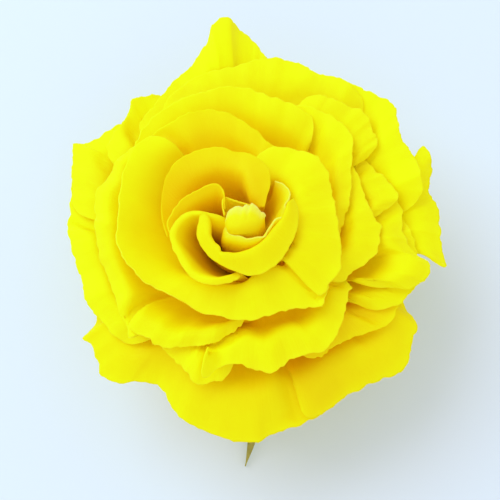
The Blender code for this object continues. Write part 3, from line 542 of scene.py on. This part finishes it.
def row_shares(rows):
    """Rows lie closer together towards the margin, where a petal bends most."""
    return 1.0 - (1.0 - np.linspace(0.0, 1.0, rows + 1)) ** 1.35


def surface_normals(points):
    """Unit normals of a grid of points."""
    across = np.gradient(points, axis=0)
    along = np.gradient(points, axis=1)
    normals = np.cross(across, along)
    return normals / np.maximum(np.linalg.norm(normals, axis=2, keepdims=True), 1e-9)


def ruffled(points, seed, wave, wrinkle, ragged, pleat=0.0):
    """Adds a soft margin's waves, its small nicks and the slight buckles of the petal's face."""
    draw = np.random.RandomState(seed)
    columns, rows = points.shape[0], points.shape[1]
    across = np.linspace(0.0, 1.0, columns)[:, None]
    along = np.linspace(0.0, 1.0, rows)[None, :]
    width = np.linalg.norm(np.diff(points[:, -1], axis=0), axis=1).sum()
    edge = np.zeros((columns, 1))
    for length, strength in WAVES:
        turns = width / length
        start = draw.rand()
        drift = 2.0 * draw.rand() * across
        edge = edge + strength * np.sin(2 * math.pi * (turns * across + start) + drift)
    face = np.zeros((columns, rows))
    for _ in range(BUCKLES):
        a, b = draw.uniform(0.6, 2.6, 2)
        face += 0.2 * np.sin(2 * math.pi * (a * across + b * along + draw.rand()))
    middle = np.sin(math.pi * np.clip(along, 0, 1)) ** 0.5
    push = wave * edge * along ** 4 + wrinkle * face * middle
    for length in PLEATS:
        turns = width / length / 2
        start = draw.rand()
        slant = draw.uniform(-0.5, 0.5) * along
        phase = start + slant + 0.3 * np.sin(2 * math.pi * (across + draw.rand()))
        fold = np.abs(np.sin(math.pi * (turns * across + phase))) ** 0.8 - 0.6
        outer_part = np.clip((along - 0.45) / 0.4, 0.0, 1.0)
        push = push + pleat * length / PLEATS[0] * fold * outer_part
    nicks = np.zeros((columns, 1))
    for length, strength in NICKS:
        phase = draw.rand() + 0.6 * np.sin(2 * math.pi * (1.7 * across + draw.rand()))
        nicks = nicks + strength * np.sin(2 * math.pi * (width / length * across + phase))
    outward = points[:, -1] - points[:, -4]
    outward = outward / np.linalg.norm(outward, axis=1, keepdims=True)
    shift = ragged * nicks * along ** 9
    pushed = points + surface_normals(points) * push[..., None]
    return pushed + outward[:, None, :] * shift[..., None]


def heart_petal(petal, columns, rows):
    """Grid of points of one heart petal, by column then by row."""
    across = np.linspace(0.0, 1.0, columns + 1)
    (start, stop), reach, height = petal["root"]
    angles = np.radians(np.linspace(start, stop, columns + 1))
    lines = [np.column_stack([reach * np.cos(angles), reach * np.sin(angles),
                              np.full(columns + 1, float(height))])]
    for key in ("waist", "crest", "margin"):
        plan, height = petal[key]
        spots = [(p[0], p[1], p[2] if len(p) > 2 else height) for p in plan]
        lines.append(smooth_line(spots, across))
    lines = np.array(lines)
    return np.array([smooth_line(lines[:, column], row_shares(rows))
                     for column in range(columns + 1)])


def refine(points):
    """Halves each cell of a grid of points."""
    columns, rows = points.shape[0], points.shape[1]
    fine = np.zeros((columns * 2 - 1, rows, 3))
    fine[::2] = points
    fine[1::2] = (points[:-1] + points[1:]) / 2
    result = np.zeros((columns * 2 - 1, rows * 2 - 1, 3))
    result[:, ::2] = fine
    result[:, 1::2] = (fine[:, :-1] + fine[:, 1:]) / 2
    return result


class Nest:
    """Keeps each petal outside and below the petals within it.

    Around the axis and by distance from the fan point, it holds the lowest elevation that the
    petals placed so far leave free.
    """

    TURNS = 240
    STEPS = 120
    STEPS_PER_MM = 1.5
    FREE = 2.0
    SMOOTHING = 1400
    FEWEST_PASSES = 6
    MOST_PASSES = 24

    def __init__(self):
        self.lowest = np.full((self.TURNS, self.STEPS), self.FREE)

    def fan(self, points):
        """Azimuth in degrees, distance and elevation of points, seen from the fan point."""
        x, y, z = points[..., 0], points[..., 1], points[..., 2] - FAN_POINT_HEIGHT
        reach = np.hypot(x, y)
        return np.degrees(np.arctan2(y, x)) % 360.0, np.hypot(reach, z), np.arctan2(z, reach)

    def step_of(self, distance):
        """Number of the ring of the map that a distance falls in."""
        return np.clip((distance * self.STEPS_PER_MM).astype(int), 0, self.STEPS - 1)

    def add(self, points):
        """Marks a placed petal on the map."""
        fine = refine(refine(points))
        turn, distance, rise = self.fan(fine)
        columns = (turn * self.TURNS / 360.0).astype(int) % self.TURNS
        np.minimum.at(self.lowest, (columns, self.step_of(distance)), rise)

    def settle(self, points):
        """A petal's points, lowered smoothly to where the petals within leave it room."""
        turn, distance, rise = self.fan(points)
        steps = self.step_of(distance)
        limit = np.full(rise.shape, self.FREE)
        for side in (-2, -1, 0, 1, 2):
            columns = ((turn * self.TURNS / 360.0).astype(int) + side) % self.TURNS
            for further in (-1, 0, 1):
                near = np.clip(steps + further, 0, self.STEPS - 1)
                limit = np.minimum(limit, self.lowest[columns, near])
        clearance = NEST_CLEARANCE * np.clip((distance - 9.0) / 8.0, 0.0, 1.0)
        drop = np.clip(rise - (limit - clearance / np.maximum(distance, 1.0)), 0.0, None)
        width = np.degrees(np.ptp(np.unwrap(np.radians(turn[:, -1]))))
        passes = int(np.clip(self.SMOOTHING / width, self.FEWEST_PASSES, self.MOST_PASSES))
        for _ in range(passes):
            wide = np.pad(drop, 1, mode="edge")
            mean = (wide[:-2, 1:-1] + wide[2:, 1:-1] + wide[1:-1, :-2] + wide[1:-1, 2:]) / 4
            drop = np.maximum(drop, mean)
        rise = rise - drop
        reach = distance * np.cos(rise)
        turn = np.radians(turn)
        return np.stack([reach * np.cos(turn), reach * np.sin(turn),
                         FAN_POINT_HEIGHT + distance * np.sin(rise)], axis=-1)


# The heart's finish falls to dark brown at the foot: painted shade for the deep hole between the
# heart petals. The copies below share this dark foot.
heart_skin = copy_with_tints_and_shade("heart_skin", ((0.50, 0.34, 0.001), (0.78, 0.56, 0.001), (0.93, 0.72, 0.001),
                                   (0.98, 0.79, 0.001), (0.98, 0.84, 0.003), (0.98, 0.86, 0.010)))
# The hood's margin, and less so the wrap's, turns pale cream: partly the pale torn edge, partly a
# painted highlight on the rim.
hood_skin = copy_with_tints_and_shade("hood_skin", ((0.50, 0.34, 0.001), (0.72, 0.53, 0.001), (0.94, 0.70, 0.001),
                                 (0.98, 0.80, 0.004), (0.98, 0.92, 0.120), (0.98, 0.94, 0.28)))
wrap_skin = copy_with_tints_and_shade("wrap_skin", ((0.50, 0.34, 0.001), (0.72, 0.53, 0.001), (0.94, 0.70, 0.001),
                                 (0.98, 0.79, 0.002), (0.98, 0.88, 0.030), (0.98, 0.91, 0.085)))
# The two lobes behind the bud, heart_top and heart_upper_left, get a more amber copy of the
# finish: painted shade, as their faces lie turned from the lamp.
lobe_shade_skin = copy_with_tints_and_shade("lobe_shade_skin", ((0.50, 0.34, 0.001), (0.76, 0.50, 0.001), (0.92, 0.58, 0.001),
                                 (0.96, 0.62, 0.001), (0.96, 0.66, 0.001), (0.97, 0.70, 0.002)))
heart_skins = {"bud_hood": hood_skin, "bud_wrap": wrap_skin,
               "heart_top": lobe_shade_skin, "heart_upper_left": lobe_shade_skin}

nest = Nest()
for number, petal in enumerate(HEART):
    points = heart_petal(petal, PETAL_COLUMNS, PETAL_ROWS)
    nest.add(points)
    points = ruffled(points, HEART_SEED + number, **HEART_RUFFLE)
    piece = blade("petal_" + petal["name"], points, PETAL_THICKNESS,
                  heart_skins.get(petal["name"], heart_skin))
    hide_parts("bloom")

# Open rows. The petals round the heart, row by row: the ring, the middle row, the outer rows
# and the guards. Each stands up from the petal base and turns its margin outwards.
ROOT_REACH = 5.6
ROOT_HEIGHT = 26.0
TUCK = 11.0
TUCK_REACH = 0.96
TUCK_DROP = 1.5
DEGREE_WEIGHT = 0.5
ROW_SEED = 41
ROW_RUFFLE = {"wave": 0.45, "wrinkle": 0.22, "ragged": 0.34}
INNER_PETALS = 5
INNER_PLEAT = 0.25
OUTER_PLEAT = 0.8

# A margin is a list of (azimuth, reach) round the flower's axis, at one height or with a
# height of its own as a third number. The crest lies "band" inside it and "lip" above it, and
# "waist" gives one reach or more and then the height half way down. Several values stand
# evenly along the petal, from its first end to its last. "ends" says how each side margin
# falls: over how many degrees, to what share. "tucks" carries an end on under its neighbour,
# and "lean" turns the petal's inner part at each end, so that the tip there hooks.
ROWS = [
    {
        "name": "ring_right", "height": 51.5, "waist": (11.6, 11.8, 13, 42.5),
        "band": (12, 10.2, 8.2), "lip": (3.2, 1.5, -1), "ends": ((2, 0.92), (20, 0.72)),
        "tucks": (0, 4),
        "margin": [(-45, 23.4), (-40, 24.4), (-33, 23.9), (-25, 24.4), (-19, 23.8), (-11, 23.2),
                   (-3, 22.2), (8, 21.9), (18, 22.3), (27, 23), (36, 24.3), (46, 24.6),
                   (58, 23.4), (72, 21.2), (84, 19.6)],
    },
    {
        "name": "ring_left", "height": 50.5, "waist": (18.5, 18, 14.5, 12.5, 11.8, 41),
        "band": (4.5, 8, 6.2, 9.8, 13), "lip": (0, -6, -1, 2.5, 3.4),
        "ends": ((10, 0.7), (9, 0.7)), "tucks": (8, 11),
        "margin": [(134, 33), (140, 33.6), (149, 33), (158, 31.8), (168, 30.6), (177, 30),
                   (186, 30.2), (193, 29.6), (200, 28.2), (207, 26.9), (214, 25.3), (222, 23.6),
                   (231, 22.8), (243, 22.5), (256, 21.9), (273, 22.1), (287, 21.6), (298, 22.1),
                   (307, 23.9), (313, 25.6), (322, 24)],
    },
    {
        "name": "ring_top", "height": 51, "waist": (17, 41),
        "band": (5.5, 5, 8), "lip": (-2.5, -1.5, -1.5), "ends": ((12, 0.8), (9, 0.8)),
        "tucks": (11, 8),
        "margin": [(60, 19.8), (72, 21.1), (79, 23.4), (84, 25), (91, 27.2), (99, 29.9),
                   (110, 32), (122, 32.3), (129, 32), (136, 31.4), (143, 30.4), (150, 29),
                   (158, 27.4)],
    },
    {
        "name": "middle_top", "height": 47.5, "waist": (22, 36.25),
        "band": (6, 6), "lip": (-2, -2), "ends": ((7, 0.7), (12, 0.75)),
        "margin": [(66, 34.8), (73, 35.4), (80, 35.8), (90, 37.6), (99, 38.2), (108, 38),
                   (116, 37.8), (124, 37.6), (135, 36.2), (143, 34.2)],
    },
    {
        "name": "middle_upper_right", "height": 47, "waist": (20.2, 37),
        "band": (2.5, 8), "lip": (0.5, -1.5), "ends": ((3, 0.9), (6, 0.7)),
        "tucks": (4, 11),
        "margin": [(4, 23.4, 45), (12, 24.9, 46), (18, 26.5), (25, 28.7), (32, 30.4), (39, 34),
                   (44, 36.5), (49, 37), (54, 37), (60, 36.6), (66, 36), (72, 34.8)],
    },
    {
        "name": "middle_right", "height": 46, "waist": (19.8, 36.5),
        "band": (6, 8.2), "lip": (2, 0), "ends": ((6, 0.75), (6, 0.75)),
        "tucks": (5, 8),
        "margin": [(-25.5, 26.2), (-20.5, 27), (-12.5, 30.4), (-6.5, 32.2), (-0.5, 32.5),
                   (4, 33), (7.5, 31.6), (11.5, 30.8), (16.5, 30.7), (23.5, 31), (30.5, 31.5)],
    },
    {
        "name": "middle_lower_left", "height": 45.5, "waist": (20.2, 19, 35.75),
        "band": (4.2, 2.6), "lip": (1.2, 0.6), "ends": ((3, 0.85), (8, 0.8)),
        "tucks": (3, 4),
        "margin": [(-140.5, 35.5), (-136.5, 34.9), (-131.5, 33.7), (-127.5, 33.8), (-123.5, 33),
                   (-117.5, 30.6), (-111.5, 28.9), (-104, 26.7), (-97, 24.1), (-89, 21.3)],
    },
    {
        "name": "middle_bottom", "height": 45, "waist": (19.6, 36),
        "band": (8, 7, 4.5), "lip": (2.5, 1.5, 0), "ends": ((2, 0.9), (3, 0.8)),
        "tucks": (0, 0),
        "margin": [(-107, 36.4, 47), (-104.5, 35.3, 45.5), (-102, 33.2, 44.5), (-98, 31.8),
                   (-92, 31.4), (-87, 32.4), (-79, 33.9), (-71, 32.2), (-63, 32.4), (-58, 33.8),
                   (-53, 33.4), (-45, 31.6), (-37, 30, 46), (-30, 27.8, 47), (-25, 25.6, 47.5)],
    },
    {
        "name": "middle_bottom_left", "height": 43, "waist": (20.4, 34.25),
        "band": (6, 8), "lip": (2, 2), "ends": ((4, 0.8), (6, 0.7)),
        "tucks": (4, 8),
        "margin": [(-129.5, 32.1), (-125.5, 33.2), (-119.5, 34.2), (-112.5, 35.4),
                   (-108.5, 37.2), (-105, 36.8), (-101, 35.4)],
    },
    {
        "name": "middle_left", "height": 44.5, "waist": (21.5, 36.25),
        "band": (4, 3.2), "lip": (2.5, 2.5), "ends": ((6, 0.75), (3, 0.85)),
        "tucks": (8, 1),
        "margin": [(141, 35.6), (148, 36.8), (155, 36.6), (162, 37.9), (168, 37.6), (173, 36.4),
                   (182, 35.7), (189, 35.3), (195, 34.6), (201, 34.1), (208, 34), (214, 34.4),
                   (219, 35), (223, 36.3)],
    },
    {
        "name": "outer_upper_right", "height": 44, "waist": (23.6, 34),
        "band": (7, 7), "lip": (0, 0), "ends": ((3, 0.8), (7, 0.7)),
        "tucks": (2, 11),
        "margin": [(35.5, 40.3), (38.5, 41.8), (41.5, 42.2), (44.5, 43.6), (48.5, 44.1),
                   (53, 42.9), (60, 41.8)],
    },
    {
        "name": "outer_right_tip", "height": 43, "waist": (23, 34.5),
        "band": (5.5, 6), "lip": (1.5, 0), "ends": ((4, 0.8), (8, 0.7)),
        "tucks": (3, 8),
        "margin": [(11, 33.8), (13, 36.8), (16, 39), (20, 38.6), (25, 37.6), (30, 36.2),
                   (36, 35)],
    },
    {
        "name": "outer_right_fold", "height": 42, "waist": (23.2, 33.5),
        "band": (6, 5), "lip": (2.5, 1.5), "ends": ((4, 0.8), (6, 0.75)),
        "tucks": (2, 8),
        "margin": [(-20.5, 36), (-19, 38.6), (-17.5, 41.4), (-15, 43.2), (-12.4, 45.1),
                   (-9.6, 45.6), (-7, 45), (-4.6, 41), (-0.5, 39), (5, 38.6), (10, 39.2),
                   (14, 38.6), (20, 37)],
    },
    {
        "name": "outer_right_low", "height": 40, "waist": (23.4, 33),
        "band": (7, 7), "lip": (2, 1.5), "ends": ((5, 0.8), (8, 0.7)),
        "tucks": (4, 11),
        "margin": [(-27, 37.6), (-24, 39.8), (-21.5, 41.2), (-17, 42.6), (-14.5, 43.5),
                   (-12, 44.2), (-8, 44), (-5, 42.6), (0, 41.6), (6, 40)],
    },
    {
        "name": "outer_lower_right", "height": 40, "waist": (23.4, 32.5),
        "band": (7.5, 7.5), "lip": (2, 2), "ends": ((9, 0.7), (9, 0.7)),
        "margin": [(-57, 33.8), (-53, 33.8), (-48, 34), (-43, 35), (-37, 37.8), (-33, 39.1),
                   (-30, 40), (-25, 39.8), (-21.5, 39.4), (-17, 39.6), (-11, 40)],
    },
    {
        "name": "outer_top", "height": 43.5, "waist": (25, 33.75),
        "band": (9, 9), "lip": (-0.5, -0.5), "ends": ((7, 0.7), (10, 0.75)),
        "margin": [(55.5, 47.9), (61.5, 48.3), (68, 47.1), (74, 48.3), (83, 48.1), (93, 45.5),
                   (104, 44.3), (114, 42.7)],
    },
    {
        "name": "outer_top_right", "height": 42.5, "waist": (25.2, 32.5),
        "band": (6.5, 6.5), "lip": (0, 0), "ends": ((7, 0.7), (6, 0.7)),
        "margin": [(21.5, 46.7), (26.5, 47.2), (30.5, 47.3), (33.5, 47.3), (36.5, 48),
                   (39.5, 49.8), (43.5, 51.6), (49, 50.4), (55, 49.2), (61, 48.4), (66, 46.5)],
    },
    {
        "name": "top_tip", "height": 41.5, "waist": (26, 32.25),
        "band": (10, 10), "lip": (0.5, 0.5), "ends": ((6, 0.7), (6, 0.7)),
        "margin": [(76, 45.7, 40), (82, 48.6, 39), (86, 52.8, 38.6), (89, 55.9, 39),
                   (92, 58.1, 40.5), (94, 59.4, 43), (96, 59.5, 43.3), (98, 57.8, 43),
                   (101, 53, 42.5), (104, 50.5), (107, 48.3), (111, 46.5), (117.5, 44.1),
                   (124.5, 42)],
    },
    {
        "name": "outer_top_left", "height": 42, "waist": (25.4, 32.25),
        "band": (9, 9), "lip": (2, 2), "ends": ((8, 0.75), (7, 0.7)),
        "margin": [(108.5, 41.9), (115.5, 42.7), (121.5, 44.6), (127.5, 46.6), (131.5, 44),
                   (140.5, 42.9)],
    },
    {
        "name": "guard_left_top", "height": 39, "waist": (25.6, 31.5),
        "band": (9, 9), "lip": (3, 3), "ends": ((7, 0.75), (7, 0.7)),
        "margin": [(128, 42.8), (134, 44.2), (140, 45.6), (145, 47.2), (147, 48.5), (149, 50.8),
                   (152, 49.4), (156.5, 47.6), (161.5, 45.5)],
    },
    {
        "name": "guard_left", "height": 38.5, "waist": (25.4, 31.25),
        "band": (6, 6), "lip": (3.5, 3.5), "ends": ((8, 0.75), (9, 0.7)),
        "margin": [(151.5, 45.9), (157.5, 46.2), (163.5, 45.2), (169.5, 44), (175, 44.1),
                   (178.5, 43), (186, 42), (193, 41.2), (200, 41), (205.5, 40.6), (211.5, 39.6),
                   (217.5, 38.9)],
    },
    {
        "name": "guard_lower_right", "height": 33.5, "waist": (25.4, 30),
        "band": (9.5, 9.5), "lip": (3.5, 3.5), "ends": ((2, 0.95), (7, 0.7)),
        "tucks": (0, 11),
        "margin": [(-71.5, 44.8), (-68, 45.4), (-63, 45), (-56, 44.6), (-50, 45.4), (-46, 46.4),
                   (-42, 48), (-40.5, 49), (-35, 49.2), (-32, 48), (-28, 46.8), (-26, 46.9),
                   (-24, 45.6), (-22, 43.6), (-19, 41.4), (-14.5, 39.5)],
    },
    {
        "name": "guard_bottom", "height": 34, "waist": (24.9, 30.75),
        "band": (10.5, 11.5), "lip": (4, 5), "ends": ((3, 0.85), (8, 0.75)),
        "tucks": (2, 11),
        "margin": [(-157, 38.2), (-154, 40.6), (-151.5, 43.4), (-149.8, 45.9), (-147.5, 44.8),
                   (-144, 45), (-141, 46), (-137.5, 47.6), (-131.5, 45.4), (-127.5, 42.3),
                   (-122.5, 40.7), (-117.5, 41.2), (-113, 43.5), (-108, 45.6), (-101.5, 46.5),
                   (-95, 47.7), (-87, 48.3), (-80.5, 46.6), (-71, 45.2), (-61, 44)],
    },
    {
        "name": "guard_right", "height": 36, "waist": (25.8, 29.5),
        "band": (7, 7), "lip": (2.5, 1.5), "ends": ((2, 0.9), (2, 0.95)),
        "tucks": (0, 0), "lean": (4, -4),
        "margin": [(-7.8, 50.4), (-5, 49.9), (1.4, 48.9), (6.7, 49.4), (10.5, 49.5),
                   (14.3, 48.7), (17.7, 48.8), (22.3, 51.3), (26, 52.4), (29, 52.9), (31, 52.9)],
    },
]


def polar(reach, turn):
    """Plan point at a reach from the axis and a turn in radians."""
    return reach * math.cos(turn), reach * math.sin(turn)


def spread(values, places):
    """Values given evenly from a petal's first end to its last, read at places between."""
    return np.interp(places, np.linspace(0.0, 1.0, len(values)), values)


def end_share(distance, fall, least):
    """Share of a petal's length that is left near one of its ends, by degrees from that end."""
    place = distance / fall
    if place >= 1.0:
        return 1.0
    return least + (1 - least) * math.sqrt(1 - (1 - place) ** 2)


def row_petal(petal, columns, rows):
    """Grid of points of one petal of the rows round the heart."""
    stations = [(p[0], p[1], p[2] if len(p) > 2 else petal["height"]) for p in petal["margin"]]
    tuck_first, tuck_last = petal.get("tucks", (TUCK, TUCK))
    if tuck_first:
        azimuth, reach, height = stations[0]
        stations.insert(0, (azimuth - tuck_first, reach * TUCK_REACH, height - TUCK_DROP))
    if tuck_last:
        azimuth, reach, height = stations[-1]
        stations.append((azimuth + tuck_last, reach * TUCK_REACH, height - TUCK_DROP))
    stations = np.array(stations, float)
    stations[:, 0] *= DEGREE_WEIGHT
    line = smooth_line(stations, np.linspace(0.0, 1.0, columns + 1))
    azimuths = line[:, 0] / DEGREE_WEIGHT
    (fall_first, share_first), (fall_last, share_last) = petal["ends"]
    lean_first, lean_last = petal.get("lean", (0, 0))
    places = (azimuths - azimuths[0]) / (azimuths[-1] - azimuths[0])
    *waist_reaches, waist_height = petal["waist"]
    waists = spread(waist_reaches, places)
    bands = spread(petal["band"], places)
    lips = spread(petal["lip"], places)
    profiles = zip(azimuths, places, line, waists, bands, lips)
    grid = []
    for azimuth, place, (_, reach, height), waist, band, lip in profiles:
        share = min(end_share(azimuth - azimuths[0], fall_first, share_first),
                    end_share(azimuths[-1] - azimuth, fall_last, share_last))
        outer = math.radians(azimuth)
        inner = outer + math.radians(lean_first * (1 - place) ** 2 + lean_last * place ** 2)
        guide = [(*polar(ROOT_REACH, inner), ROOT_HEIGHT), (*polar(waist, inner), waist_height),
                 (*polar(reach - band, inner), height + lip),
                 (*polar(reach, outer), height)]
        grid.append(smooth_line(guide, row_shares(rows) * share))
    return np.array(grid)


# ring_top, guard_bottom, guard_lower_right and outer_lower_right get a more amber copy of the
# finish: painted shade for petals whose faces lie turned from the lamp.
painted_shade_skin = copy_with_tints_and_shade("painted_shade_skin", ((0.98, 0.62, 0.001), (0.98, 0.66, 0.001), (0.98, 0.70, 0.001),
                                   (0.98, 0.74, 0.001), (0.98, 0.80, 0.002), (0.98, 0.82, 0.003)))
row_skins = {"ring_top": painted_shade_skin, "guard_bottom": painted_shade_skin,
             "guard_lower_right": painted_shade_skin, "outer_lower_right": painted_shade_skin}

for number, petal in enumerate(ROWS):
    points = nest.settle(row_petal(petal, PETAL_COLUMNS, PETAL_ROWS))
    nest.add(points)
    pleat = INNER_PLEAT if number < INNER_PETALS else OUTER_PLEAT
    points = ruffled(points, ROW_SEED + number, **ROW_RUFFLE, pleat=pleat)
    piece = blade("petal_" + petal["name"], points, PETAL_THICKNESS,
                  row_skins.get(petal["name"], petal_skin))
    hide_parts("bloom")
